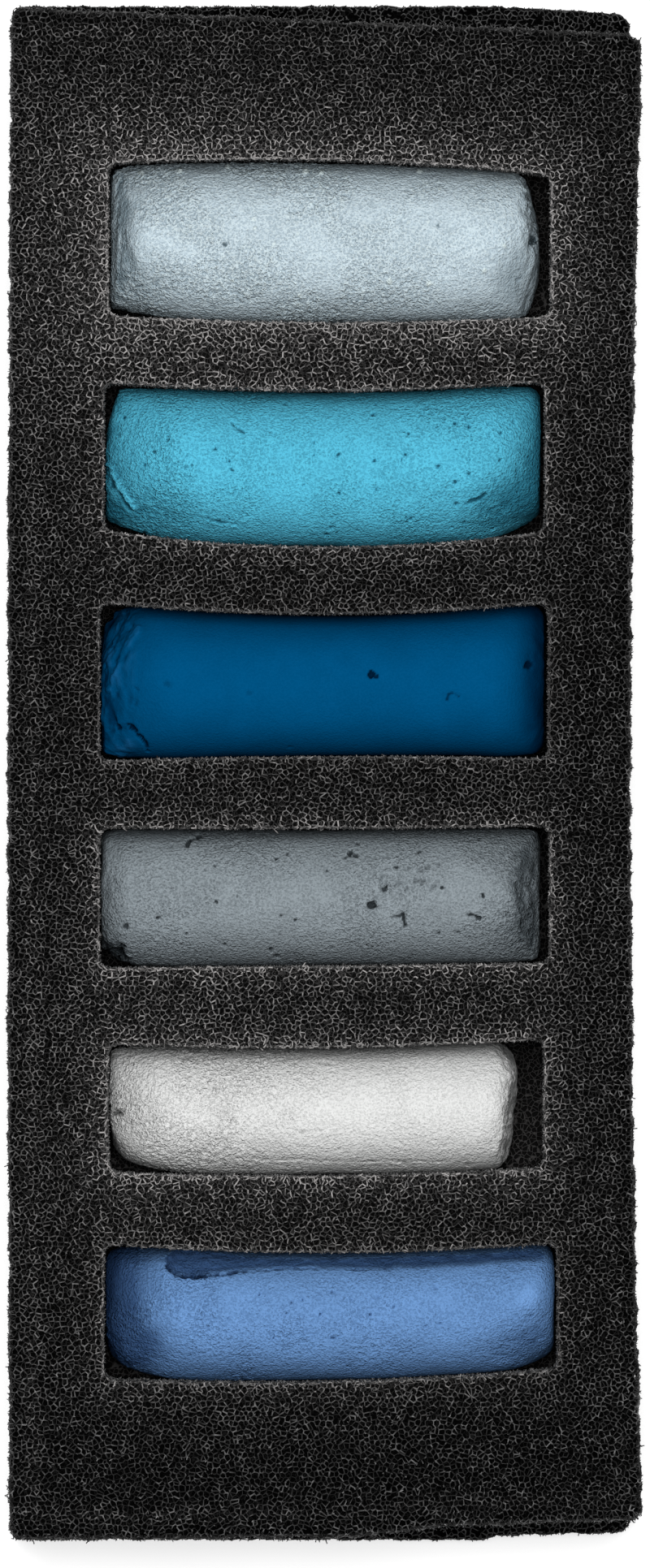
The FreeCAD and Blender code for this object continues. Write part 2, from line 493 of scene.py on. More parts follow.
def wall_net(loop, low_z, high_z, cell, seed, stubs, inward=0.4, torn=0.0):
    """The struts of an upright wall along an outline, between two heights."""
    outline = Outline(loop)
    cells = random_cells((0.0, low_z - cell), (outline.length, high_z + cell), cell, seed,
                         wrap=outline.length)

    def place(flat, out):
        edge, outward = outline.follow(flat[:, 0])
        edge = edge - torn * ragged(edge)
        height = np.clip(flat[:, 1], low_z + STRUT * 1.4, high_z - 0.05)
        return np.column_stack([edge + outward * (out * 0.8)[:, None], height])

    def keep(flat):
        return (flat[:, 1] > low_z - 0.1) & (flat[:, 1] < high_z + 0.1)

    return net_over(place, cells, keep, cell, seed + 1, inward, stubs)


# --- solid foam behind the struts ---
TOP_INSET, BASE_INSET, WINDOW_INSET = 0.30, 0.12, 0.16
TOP_SINK, BASE_SINK = 0.5, 0.12  # how far the cores lie below the layers' top faces
WINDOW_FLOOR_LIGHT = 0.35  # painted light: how much lighter the base is made inside the windows, at the bottom of the gaps
GRID, CLEAR = 0.7, 0.3  # the spacing of a core's top face, and its distance from the edges
ROW = 1.5  # the greatest height of a row of faces on a core's sides


def core(name, loops, low_z, high_z, edge_inset):
    """The dark body of one foam layer, a little inside its cut faces."""
    insets = [edge_inset] + [WINDOW_INSET] * (len(loops) - 1)
    rings = [resampled(shrunk(loop, inset), 0.8) for loop, inset in zip(loops, insets)]
    rng = np.random.default_rng(SEED + 60)
    low, high = rings[0].min(0), rings[0].max(0)
    grid = np.stack(np.meshgrid(np.arange(low[0], high[0], GRID),
                                np.arange(low[1], high[1], GRID)), -1).reshape(-1, 2)
    grid = grid + rng.uniform(-0.25, 0.25, grid.shape)
    clear = within(grid, rings)
    for ring in rings:
        clear &= distance(grid, ring) > CLEAR
    points = np.vstack(rings + [grid[clear]])
    sides, first = [], 0
    for ring in rings:
        count = len(ring)
        sides += [(first + k, first + (k + 1) % count) for k in range(count)]
        first += count
    made = delaunay_2d_cdt([Vector(p) for p in points], sides, [], 0, 1e-6)
    flat = np.array([(v.x, v.y) for v in made[0]])
    triangles = np.array(made[2])
    triangles = triangles[within(flat[triangles].mean(1), rings)]
    run = flat[triangles]
    turn = np.cross(run[:, 1] - run[:, 0], run[:, 2] - run[:, 0])
    triangles[turn < 0] = triangles[turn < 0][:, ::-1]
    sides = [side for a, b, c in triangles.tolist() for side in ((a, b), (b, c), (c, a))]
    known = set(sides)
    outer = np.array([side for side in sides if side[::-1] not in known])
    rim = np.unique(outer[:, 0])
    pairs = np.searchsorted(rim, outer)
    rise = 0.12 * rough_noise(flat, 0.9, SEED + 61)
    rise[rim] = 0
    vertices = [np.column_stack([flat, high_z + rise])]
    faces = [triangles]
    levels = np.linspace(high_z, low_z, max(2, int((high_z - low_z) / ROW) + 1))
    above, total = rim, len(flat)
    for level in levels[1:]:
        vertices.append(np.column_stack([flat[rim], np.full(len(rim), level)]))
        below = total + np.arange(len(rim))
        quads = np.stack([above[pairs[:, 0]], below[pairs[:, 0]], below[pairs[:, 1]],
                          above[pairs[:, 1]]], 1)
        faces += [quads[:, [0, 1, 2]], quads[:, [0, 2, 3]]]
        above = below
        total += len(rim)
    bottom = np.full(len(flat), -1)
    bottom[rim] = above
    inner = np.flatnonzero(bottom < 0)
    bottom[inner] = total + np.arange(len(inner))
    vertices.append(np.column_stack([flat[inner], np.full(len(inner), low_z)]))
    faces.append(bottom[triangles][:, ::-1])
    vertices = np.vstack(vertices)
    faces = np.vstack(faces)
    depth = clamp((TOP_HIGH[2] - vertices[:, 2]) / 3.0)
    dust_and_light = dust_and_light_at(vertices[:, :2]) * (1 - depth) ** 2
    if len(loops) == 1:  # the base, which is seen through the windows
        # The base inside the windows is lightened with painted light, where the gaps lie deep in
        # shade.
        for loop in WINDOWS:
            window_floor = inside(vertices[:, :2], loop) & (vertices[:, 2] > high_z - 1.0)
            dust_and_light += WINDOW_FLOOR_LIGHT * window_floor
    return make_piece(name, vertices, faces, CORE, "tray", {"dust_and_light": dust_and_light})


# --- material helpers ---
class Nodes:
    """A new material and the few kinds of node that the materials here are built from."""

    def __init__(self, name, roughness, specular):
        self.material = bpy.data.materials.new(name)
        self.material.use_nodes = True
        self.tree = self.material.node_tree
        self.shader = self.tree.nodes["Principled BSDF"]
        self.shader.inputs["Roughness"].default_value = roughness
        self.shader.inputs["Specular IOR Level"].default_value = specular
        self.place = self.new("ShaderNodeTexCoord").outputs["Object"]

    def new(self, kind, **settings):
        node = self.tree.nodes.new(kind)
        for key, value in settings.items():
            setattr(node, key, value)
        return node

    def link(self, source, target):
        if isinstance(source, (int, float, tuple)):
            target.default_value = source
        else:
            self.tree.links.new(source, target)

    def noise(self, size, detail=3.0, roughness=0.55, output="Fac"):
        """Noise from 0 to 1 with features about size millimetres across."""
        node = self.new("ShaderNodeTexNoise")
        self.link(self.place, node.inputs["Vector"])
        node.inputs["Scale"].default_value = 1 / (size * MM)
        node.inputs["Detail"].default_value = detail
        node.inputs["Roughness"].default_value = roughness
        return node.outputs[output]

    def cells(self, size, vector=None):
        """The distance to the nearest edge of cells about size millimetres across."""
        node = self.new("ShaderNodeTexVoronoi", feature="DISTANCE_TO_EDGE")
        self.link(vector or self.place, node.inputs["Vector"])
        node.inputs["Scale"].default_value = 1 / (size * MM)
        return node.outputs["Distance"]

    def value(self, name):
        return self.new("ShaderNodeAttribute", attribute_name=name).outputs["Fac"]

    def math(self, operation, first, second=0.0, clamp=False):
        node = self.new("ShaderNodeMath", operation=operation, use_clamp=clamp)
        self.link(first, node.inputs[0])
        self.link(second, node.inputs[1])
        return node.outputs[0]

    def times(self, first, second, clamp=False):
        return self.math("MULTIPLY", first, second, clamp)

    def ramp(self, value, low, high, first=0.0, last=1.0):
        """value from low to high, turned into first to last, and no further."""
        node = self.new("ShaderNodeMapRange", interpolation_type="SMOOTHSTEP")
        for socket, number in zip(node.inputs, (value, low, high, first, last)):
            self.link(number, socket)
        return node.outputs[0]

    def mix(self, share, first, second):
        node = self.new("ShaderNodeMix", data_type="RGBA")
        self.link(share, node.inputs[0])
        self.link(first, node.inputs[6])
        self.link(second, node.inputs[7])
        return node.outputs[2]

    def bump(self, height, depth, normal=None):
        """A bump whose full height is depth millimetres."""
        node = self.new("ShaderNodeBump")
        self.link(height, node.inputs["Height"])
        node.inputs["Distance"].default_value = depth * MM
        node.inputs["Strength"].default_value = 1.0
        if normal is not None:
            self.link(normal, node.inputs["Normal"])
        return node.outputs["Normal"]

    def finish(self, colour, normal=None):
        self.link(colour, self.shader.inputs["Base Color"])
        if normal is not None:
            self.link(normal, self.shader.inputs["Normal"])
        return self.material


def grey(level, tint=(1.0, 1.0, 1.0)):
    """A linear grey, or one with a tint."""
    return (*(level * part for part in tint), 1.0)


def linear(*numbers):
    """A linear colour from ordinary 0 to 255 numbers."""
    shares = [number / 255 for number in numbers]
    return (*(share / 12.92 if share <= 0.04045 else ((share + 0.055) / 1.055) ** 2.4
              for share in shares), 1.0)


# --- materials ---
# The pale colour of chalk dust, also used for painted light on the foam.
DUST_AND_LIGHT_COLOUR = grey(0.44, (1.0, 0.965, 0.95))
FILM_COLOUR = grey(0.05, (1.0, 0.96, 0.85))
FLOOR_GLOW = 0.5


def strut_material():
    """Charcoal foam struts, lighter and darker, with chalk dust on some of them. Their tone
    carries painted glints, painted light and painted shade, and painted light is mixed in with
    the dust.
    """
    n = Nodes("foam_struts", roughness=0.6, specular=0.25)
    colour = n.mix(n.value("tone_and_shading"), grey(0.003), grey(0.21))
    speck = n.ramp(n.noise(0.35, 3.0), 0.35, 0.72)
    dust_and_light_share = n.times(n.value("dust_and_light"), n.math("MULTIPLY_ADD", speck, 1.5), clamp=True)
    return n.finish(n.mix(dust_and_light_share, colour, DUST_AND_LIGHT_COLOUR))


def core_material():
    """The deeper foam between the front struts: its charcoal darkened to near black as painted
    shade, with faint struts of its own.
    """
    n = Nodes("foam_core", roughness=0.9, specular=0.02)
    waves = n.new("ShaderNodeVectorMath", operation="SCALE")
    n.link(n.noise(0.6, 2.0, 0.5, "Color"), waves.inputs[0])
    waves.inputs["Scale"].default_value = 0.3 * MM
    warped = n.new("ShaderNodeVectorMath", operation="ADD")
    n.link(n.place, warped.inputs[0])
    n.link(waves.outputs[0], warped.inputs[1])
    edge = n.cells(0.42, warped.outputs[0])
    strut = n.ramp(edge, 0.16, 0.03)
    patch = n.ramp(n.noise(1.4, 2.0), 0.3, 0.75)
    colour = n.mix(n.times(strut, patch), grey(0.0006), grey(0.010))
    dust_and_light_share = n.times(n.value("dust_and_light"), n.ramp(strut, 0.0, 1.0, 0.05, 0.45), clamp=True)
    return n.finish(n.mix(dust_and_light_share, colour, DUST_AND_LIGHT_COLOUR), n.bump(strut, 0.25))


def film_material():
    """The dark bonding film, with the cells of the foam printed in it."""
    n = Nodes("bonding_film", roughness=0.35, specular=0.5)
    edge = n.ramp(n.cells(0.55), 0.02, 0.2)
    colour = n.mix(edge, grey(0.015), FILM_COLOUR)
    return n.finish(colour, n.bump(edge, 0.05))


def floor_material():
    """A white table top that glows enough to lose all but the nearest shadow."""
    n = Nodes("white_table", roughness=0.9, specular=0.1)
    colour = n.mix(n.noise(60.0, 2.0), grey(0.88), grey(0.90))
    n.shader.inputs["Emission Color"].default_value = (1, 1, 1, 1)
    n.shader.inputs["Emission Strength"].default_value = FLOOR_GLOW
    return n.finish(colour)


# --- the tray ---
STRUTS = strut_material()
CORE = core_material()


def build_foam():
    """The film between the layers, the two cores, and the nets of struts over them."""
    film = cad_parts["adhesive_film"].data
    film.materials.clear()
    film.materials.append(film_material())
    top_core = core("foam_top_core", TOP_LOOPS, TOP_LOW[2], TOP_HIGH[2] - TOP_SINK, TOP_INSET)
    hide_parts("foam_top_layer")
    base_core = core("foam_base_core", [BASE_LOOP], BASE_LOW[2], BASE_HIGH[2] - BASE_SINK,
                     BASE_INSET)
    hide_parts("foam_base_layer")
    face = top_net()
    rows = [loop[:, 1].mean() for loop in WINDOWS]
    edges = [1e3] + [(a + b) / 2 for a, b in zip(rows, rows[1:])] + [-1e3]
    for number, (upper, lower) in enumerate(zip(edges, edges[1:]), 1):
        make_net(f"foam_top_face_{number}", face,
                 lambda p: (p[:, 1] <= upper) & (p[:, 1] > lower))
    make_net("foam_base_ledge", ledge_net())
    side = wall_net(TOP_LOOPS[0], TOP_LOW[2], TOP_HIGH[2], SIDE_CELL, SEED + 20, 0.4, torn=1.0)
    middle = (TOP_LOW[0] + TOP_HIGH[0]) / 2
    make_net("foam_top_side_left", side, lambda p: p[:, 0] <= middle)
    make_net("foam_top_side_right", side, lambda p: p[:, 0] > middle)
    make_net("foam_base_side", wall_net(BASE_LOOP, BASE_LOW[2], BASE_HIGH[2], SIDE_CELL,
                                        SEED + 30, 0.35, torn=0.6))
    for number, loop in enumerate(WINDOWS, 1):
        make_net(f"foam_window_wall_{number}",
                 wall_net(loop, TOP_HIGH[2] - WINDOW_DEPTH, TOP_HIGH[2], WINDOW_CELL,
                          SEED + 40 + number, 0.35, 0.2))


build_foam()

# --- the sticks ---
FINE, COARSE = 0.14, 0.5  # the spacing of a stick's points, on its upper side and beneath
CAP = 12  # how many rings a flat end has
GRAIN_LEVEL = 0.38  # about the mean of grains()


class Stick:
    """One pastel stick as a grid of points, rings of them from its left end to its right end.

    Places on it are given as (along, across): millimetres from the stick's middle, towards +X
    and towards +Y. Heights are from the level of its middle."""

    def __init__(self, name, seed, left, right):
        self.name = name
        self.node = "pastel_" + name
        self.seed = seed
        low, high = node_box(self.node)
        self.middle = (low + high) / 2
        self.half_length, _, self.half_height = (high - low) / 2
        self.read_sides()
        self.lay_out(left, right)
        self.sunk, self.raised, self.tint = np.zeros((3, len(self.points)))

    def read_sides(self):
        """The bow and the width of the stick, from its CAD solid."""
        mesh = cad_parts[self.node].data
        points = np.array([v.co for v in mesh.vertices]) / MM
        inner = self.half_length - 4.5  # short of the rounded ends
        stations = np.linspace(-inner, inner, 7)
        upper, lower = [], []
        for station in stations:
            near = points[np.abs(points[:, 0] - self.middle[0] - station) < inner / 6, 1]
            upper.append(near.max())
            lower.append(near.min())
        self.upper_side = np.polyfit(stations, upper, 2)
        self.lower_side = np.polyfit(stations, lower, 2)
        self.centre = (self.upper_side[2] + self.lower_side[2]) / 2
        self.half_width = (self.upper_side[2] - self.lower_side[2]) / 2

    def lay_out(self, left, right):
        """The plain shape. left and right are (rim radius, nose length, nose drop): each end is
        blunt with a rounded rim, and the nose is how the stick thins towards it."""
        turn = np.linspace(0, math.pi / 2, 9)
        length = 2 * self.half_length
        body = np.arange(left[0] + FINE, length - right[0] - FINE / 2, FINE)
        along = [np.zeros(CAP), left[0] * (1 - np.cos(turn)), body,
                 length - right[0] * (1 - np.cos(turn[::-1])), np.full(CAP, length)]
        rims = [1 - end[0] / self.half_height for end in (left, right)]
        size = [np.linspace(0.001, rims[0], CAP + 1)[:-1],
                rims[0] + (1 - rims[0]) * np.sin(turn), np.ones(len(body)),
                rims[1] + (1 - rims[1]) * np.sin(turn[::-1]),
                np.linspace(rims[1], 0.001, CAP + 1)[1:]]
        along, size = np.concatenate(along), np.concatenate(size)
        thin = np.zeros(len(along))
        for (_, reach, drop), away in ((left, along), (right, length - along)):
            thin += drop * clamp(1 - away / reach) ** 1.7
        along = along - self.half_length
        arc = math.pi * self.half_height
        top = np.linspace(0, math.pi, int(arc / FINE))
        under = np.linspace(math.pi, 2 * math.pi, int(arc / COARSE))[1:-1]
        angle = np.concatenate([top, under])
        across, upright = np.cos(angle), np.sin(angle)
        upper = np.polyval(self.upper_side, along)
        lower = np.polyval(self.lower_side, along)
        width = (upper - lower) / 2 * size * (1 - thin / 8)
        y = ((upper + lower) / 2)[:, None] + width[:, None] * across
        sink = thin[:, None] * np.where(upright > 0, 1.0, 0.3)
        z = self.middle[2] + (self.half_height * size)[:, None] * (1 - sink) * upright
        x = np.broadcast_to((self.middle[0] + along)[:, None], y.shape)
        self.rings, self.spokes = y.shape
        ring = np.arange(self.rings)
        ring = np.minimum(ring, self.rings - 1 - ring)
        self.off_cap = np.repeat(np.clip(ring / CAP, 0.3, 1), self.spokes)
        self.points = np.stack([x, y, z], -1).reshape(-1, 3)

    def normals(self):
        """The direction out of the stick at every point."""
        grid = self.points.reshape(self.rings, self.spokes, 3)
        around = np.roll(grid, -1, 1) - np.roll(grid, 1, 1)
        along = np.gradient(grid, axis=0)
        out = np.cross(around, along).reshape(-1, 3)
        return out / np.maximum(lengths(out), 1e-9)[:, None]

    def plan(self):
        """Every point's place as (along, across), and whether it is on the upper side."""
        flat = self.points[:, :2] - [self.middle[0], self.centre]
        return flat, self.points[:, 2] > self.middle[2] - 1.0

    def from_end(self, side):
        """Every point's distance from one end, side being -1 or 1."""
        return self.half_length - side * self.plan()[0][:, 0]

    def noise(self, size, number, stretch=(1, 1, 1), layers=3):
        """The stick's own noise at its points."""
        return rough_noise(self.points * stretch, size, self.seed + number, layers)

    def swell(self, size, depth):
        """Broad unevenness of the rolled surface."""
        self.points += self.normals() * (depth * self.noise(size, 3, layers=2))[:, None]

    def cut(self, along, across, up, out, rough=0.12, soft=0.25, streak=1.0, dark=0.0):
        """Breaks off what lies beyond a plane through a place. The broken face looks towards
        out, (along, across, up), and soft rounds its edge. With a small streak its unevenness
        runs across the stick."""
        out = np.array(out, float)
        out /= np.linalg.norm(out)
        start = np.array([self.middle[0] + along, self.centre + across, self.middle[2] + up])
        uneven = rough * self.noise(1.1, 31, (1, streak, 1))
        gone = soft * np.logaddexp(0, ((self.points - start) @ out - uneven) / soft)
        self.points -= gone[:, None] * out
        # Painted shade on the broken face, as strong as dark.
        self.tint -= dark * clamp(gone / (2 * soft))

    def corner(self, along, across, out, dark):
        """Rounds off a corner low down in its window, with painted shade on it. out is (along,
        across).
        """
        self.cut(along, across, 2.5, (*out, 0.9), soft=0.8, dark=dark)

    def torn(self, side, reach, depth):
        """Small ridges and hollows near one end, where the stick was broken. The ridges are
        lightened and the hollows darkened with painted light and shade.
        """
        share = clamp(1.3 - self.from_end(side) / reach)
        height = share * self.noise(1.0, 61, (1, 0.6, 1))
        height *= depth * self.off_cap
        self.points += self.normals() * height[:, None]
        self.tint += 1.6 * height

    def scuff(self, along, across, size, depth):
        """A patch of small hollows that run together. size is (along, across)."""
        flat, upper = self.plan()
        away = lengths((flat - [along, across]) / size)
        hollow = smooth_noise(self.points, 0.5, self.seed + 63)
        hollow += 0.5 * smooth_noise(self.points, 0.22, self.seed + 64)
        hollow = clamp(2.4 * hollow + 0.2 - away**2) * upper
        self.sunk = np.maximum(self.sunk, depth * hollow)

    def shelf(self, edge, start, up, slope, rough):
        """A long flake broken off the +Y side: past start, and beyond a line of (along, across)
        places, the surface drops to a shelf."""
        flat, upper = self.plan()
        limit = np.interp(flat[:, 0], *zip(*edge))
        limit += 0.16 * self.noise(1.3, 41, (1, 0, 0))
        past = clamp((flat[:, 1] - limit) / 0.5) * clamp((flat[:, 0] - start) / 0.6)
        level = self.middle[2] + up - slope * (flat[:, 1] - limit)
        level += rough * self.noise(0.8, 43)
        fall = np.clip(self.points[:, 2] - level, 0, None) * past * upper
        self.points[:, 2] -= fall
        # Painted shade on the shelf, which lies low under the foam's rim.
        self.tint -= 0.36 * past * (fall > 0)

    def patches(self, size, low=-0.2, high=0.4):
        """Random areas, from 0 to 1."""
        return clamp((self.noise(size, 9, (1, 1, 0.5), 2) - low) / (high - low))

    def smoother(self, start, reach, drop):
        """1 up to a place along the stick, then less by drop once past the reach."""
        return 1 - drop * clamp((self.plan()[0][:, 0] - start) / reach)

    def grain(self, size, depth, patch):
        """Grains standing out of the surface, where patch, from 0 to 1, lets them. Their tops
        are lightened and the hollows between them darkened with painted light and shade.
        """
        high = grains(self.points, size, self.seed + 5) - GRAIN_LEVEL
        high += 0.4 * (grains(self.points, size * 2.1, self.seed + 6) - GRAIN_LEVEL)
        self.points += self.normals() * (depth * high * patch)[:, None]
        self.tint += 0.25 * high * patch
        self.coarse = clamp(patch)

    def shaded_end(self, side, reach, amount):
        """Darkens the stick towards one end with painted shade, where it lies deep under the
        foam's rim.
        """
        away = self.from_end(side)
        away += 0.12 * reach * self.noise(2.5, 65)
        self.tint -= amount * clamp(1 - away / reach) ** 2.2

    def spot(self, along, across, radius, ripple, waviness, seed):
        """The upper points near a place, and how deep in a round mark there each one is."""
        flat, upper = self.plan()
        away = lengths(flat - [along, across]) / radius
        near = (away < 2.0) & upper
        wobble = waviness * smooth_noise(self.points[near], ripple * radius, self.seed + seed)
        return near, clamp(1.2 - (away[near] + wobble) ** 2)

    def pit(self, along, across, radius, depth):
        """An air hole."""
        near, share = self.spot(along, across, radius, 0.8, 0.5, 21)
        self.sunk[near] = np.maximum(self.sunk[near], depth * share)

    def crumb(self, along, across, radius, height):
        """A crumb that sticks to the surface."""
        near, share = self.spot(along, across, radius, 1.0, 0.4, 25)
        self.raised[near] = np.maximum(self.raised[near], height * share)
        self.tint[near] += min(0.4, 2.7 * height) * share

    def along_line(self, places, width):
        """How near each upper point is to a line of places: 1 on it, 0 well off it."""
        flat, upper = self.plan()
        for axis in range(2):
            flat[:, axis] += 0.16 * self.noise(0.7, 27 + axis)
        nearest = distance(flat, np.array(places, float), closed=False)
        nearest += 0.6 * width * smooth_noise(self.points, 0.4, self.seed + 23)
        return clamp(1.3 - (nearest / width) ** 2) * upper

    def crack(self, places, width, depth):
        """A narrow furrow along a line of places, deep and shallow by turns."""
        uneven = clamp(0.75 + 1.1 * smooth_noise(self.points, 0.5, self.seed + 29))
        self.sunk = np.maximum(self.sunk, depth * uneven * self.along_line(places, width))

    def lip(self, places, width, height):
        """A raised edge along a line of places."""
        near = self.along_line(places, width)
        self.raised = np.maximum(self.raised, height * near)
        self.tint += 0.2 * clamp(near)

    def scatter(self, mark, count, radius, depth, seed):
        """Small marks, self.pit or self.crumb, all over the upper side."""
        rng = np.random.default_rng(self.seed + seed)
        for _ in range(count):
            mark(rng.uniform(-0.95, 0.95) * self.half_length,
                 rng.uniform(-0.88, 0.88) * self.half_width,
                 radius * rng.uniform(0.6, 1.5), depth * rng.uniform(0.5, 1.2))

    def make(self, *look, **finer_look):
        """The finished piece, in place of its CAD solid. Only a pinhole is left at each end."""
        material = chalk_material(self.name + "_chalk", *look, **finer_look)
        self.points += self.normals() * (self.raised - self.sunk)[:, None]
        index = np.arange(self.rings * self.spokes).reshape(self.rings, self.spokes)
        near, far = index[:-1], index[1:]
        faces = np.stack([far, np.roll(far, -1, 1), np.roll(near, -1, 1), near], -1)
        ring, spoke = np.divmod(index.ravel(), self.spokes)
        chart = np.stack([ring, spoke], 1)
        # pit and tint carry painted shade and painted light into the material.
        values = {"pit": clamp(self.sunk / 0.3), "tint": self.tint, "coarse": self.coarse}
        piece = make_piece("stick_" + self.name, self.points, faces.reshape(-1, 4), material,
                           self.node + "_stick", values, chart)
        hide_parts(self.node)


def scaled(colour, factor, more=0.0):
    """A colour made lighter or darker."""
    return (*(min(1.0, part * factor + more) for part in colour[:3]), 1.0)


def chalk_material(name, colour, dark, relief_shading, mottle=0.06, grain_depth=0.11, shine=0.04):
    """Matte pressed pigment with a fine grain and a slight mottle. Dark and pale specks are
    painted light and shade of the fine grain, pits and other hollows get painted shade, and the
    tint brings more painted light and shade and the crumbs' paler colour.
    """
    n = Nodes(name, roughness=0.92, specular=shine)
    base, deep = linear(*colour), linear(*dark)
    # deep, bright and hole are the colours that painted shade and painted light mix towards;
    # bright also gives the crumbs their paler colour.
    bright, hole = scaled(base, 1.45, 0.012), scaled(deep, 0.5)
    shade = n.mix(n.ramp(n.noise(3.2, 4.0), 0.3, 0.7), scaled(base, 1 - mottle),
                  scaled(base, 1 + mottle))
    fine = n.noise(0.2, 1.5, 0.5)
    rough = n.ramp(n.value("coarse"), 0.0, 1.0, 0.45, 1.0)
    amount = n.times(rough, relief_shading)
    # Painted light and shade of the fine grain: dark and pale specks, where the grain is coarse.
    shade = n.mix(n.times(n.ramp(fine, 0.50, 0.41), amount), shade, deep)
    shade = n.mix(n.times(n.ramp(fine, 0.50, 0.59), amount), shade, bright)
    # The tint lightens and darkens the colour: painted light and shade on grains, ridges,
    # breaks, shelves and ends, and the crumbs' paler colour.
    shade = n.mix(n.ramp(n.value("tint"), 0.02, 0.30, 0.0, 0.7), shade, bright)
    shade = n.mix(n.ramp(n.value("tint"), -0.02, -0.35, 0.0, 0.7), shade, deep)
    shade = n.mix(n.ramp(n.value("tint"), -0.35, -0.80, 0.0, 0.75), shade, hole)
    # Painted shade in pits, cracks and other hollows.
    shade = n.mix(n.times(n.ramp(n.value("pit"), 0.1, 0.9), 0.88), shade, hole)
    relief = n.times(n.noise(0.42, 3.0, 0.6), rough)
    normal = n.bump(relief, grain_depth * 2.2)
    normal = n.bump(n.times(fine, rough), grain_depth * 3.0, normal)
    return n.finish(shade, normal)


def pale_grey_stick():
    s = Stick("pale_grey", 100, (0.6, 3, 0.34), (1.1, 3.5, 0.26))
    s.swell(5, 0.1)
    s.cut(0, 6.2, 3.5, (0, 0.88, 0.46), soft=0.6)
    s.cut(-17.1, 1, 5.6, (-0.9, 0, 0.42), 0.36, soft=0.32, streak=0.25, dark=0.2)
    s.cut(-18.7, -5.5, 0, (-0.25, -1, 0.15))
    s.cut(18.3, -4.4, 0, (0.95, -0.3, 0.1))
    s.cut(18.2, 0.6, 4.9, (1, 0.1, 0.35), 0.45)
    s.cut(18.75, 0.2, 0, (1, 0.25, 0.1), 0.6)
    s.corner(-17.9, -4.9, (-0.5, -0.85), 0.3)
    s.corner(-18.3, 4.6, (-0.7, 0.7), 0.2)
    s.corner(17.9, -3.8, (0.8, -0.6), 0.2)
    s.torn(-1, 2.2, 0.16)
    s.torn(1, 1.6, 0.22)
    uneven = 0.4 + 0.6 * s.patches(3.6, -0.3, 0.1)
    s.grain(0.38, 0.3, uneven * s.smoother(-2, 16, 0.5))
    s.pit(18.4, 0.1, 0.45, 0.45)
    s.pit(-8.8, -0.3, 0.26, 0.3)
    s.pit(9.9, 1.4, 0.26, 0.22)
    for place in [(15.7, -0.4), (5.7, -3.5), (9.1, -3.7), (14, -2.5), (-12.8, 6.2), (-8.6, 6.6),
                  (-1.7, 6.2), (-0.3, 6.1), (8.3, 6.2), (-16.2, 6.1)]:
        s.crumb(*place, 0.26, 0.2)
    s.scatter(s.pit, 24, 0.14, 0.12, 51)
    s.scatter(s.crumb, 40, 0.16, 0.08, 52)
    s.make((202, 220, 230), (110, 134, 146), 0.4)


def turquoise_stick():
    s = Stick("turquoise", 200, (0.7, 7, 0.68), (1.1, 5, 0.54))
    s.swell(5, 0.12)
    s.cut(-18.1, 6.6, 0, (-0.95, 0.31, 0), 0.1)
    s.cut(-17.5, -2.3, 4.1, (-0.62, -0.5, 0.6), 0.14, dark=0.15)
    s.cut(-18.6, -4.6, 0, (-0.45, -0.9, 0.15), 0.1)
    s.cut(17.7, -4.6, 0, (0.55, -0.84, 0.15), 0.1)
    s.corner(-17.6, -3.9, (-0.45, -0.9), 0.45)
    s.corner(16.9, -3.9, (0.55, -0.84), 0.45)
    s.torn(-1, 1.5, 0.12)
    s.lip([(-18.9, 0.5), (-18.2, -1), (-17.4, -2.2), (-16.6, -3.4)], 0.22, 0.3)
    s.crack([(-18.9, 0.1), (-18.55, -1.2), (-17.8, -2.5), (-17, -3.6)], 0.2, 0.35)
    s.grain(0.4, 0.18, (0.45 + 0.55 * s.patches(3.5)) * s.smoother(-12, 8, 0.3))
    s.crack([(-8.1, 4.1), (-7.6, 3.6), (-6.9, 3.3)], 0.13, 0.25)
    s.crack([(12.5, -3.1), (13.5, -2.7), (14.3, -2.2)], 0.16, 0.25)
    s.crack([(-10.2, -4.4), (-9, -4.7), (-7.7, -4.9)], 0.12, 0.2)
    for place in [(-14.9, 1.5), (-8.2, 0.7), (4.4, 4.9), (7.5, 3.2), (4.5, 0.7), (1.3, 1.3),
                  (7.2, 1.3), (11.5, 4.1), (12.8, 3.8), (11.6, -1.2), (12.8, -0.4), (11.7, -3.1),
                  (15.6, 0.8), (15.6, 3.2), (-8.1, -0.1), (1.4, -2.1), (-13.7, 2.6), (7.7, -4.4),
                  (0.3, -5.8), (-9.5, 1.8), (10.1, 0.2), (-15.8, 0.3), (-17.6, 4.6)]:
        s.pit(*place, 0.18, 0.26)
    s.shaded_end(-1, 5, 0.25)
    s.shaded_end(1, 5, 0.35)
    s.scatter(s.pit, 70, 0.11, 0.2, 51)
    s.make((88, 192, 224), (12, 86, 112), 0.34)


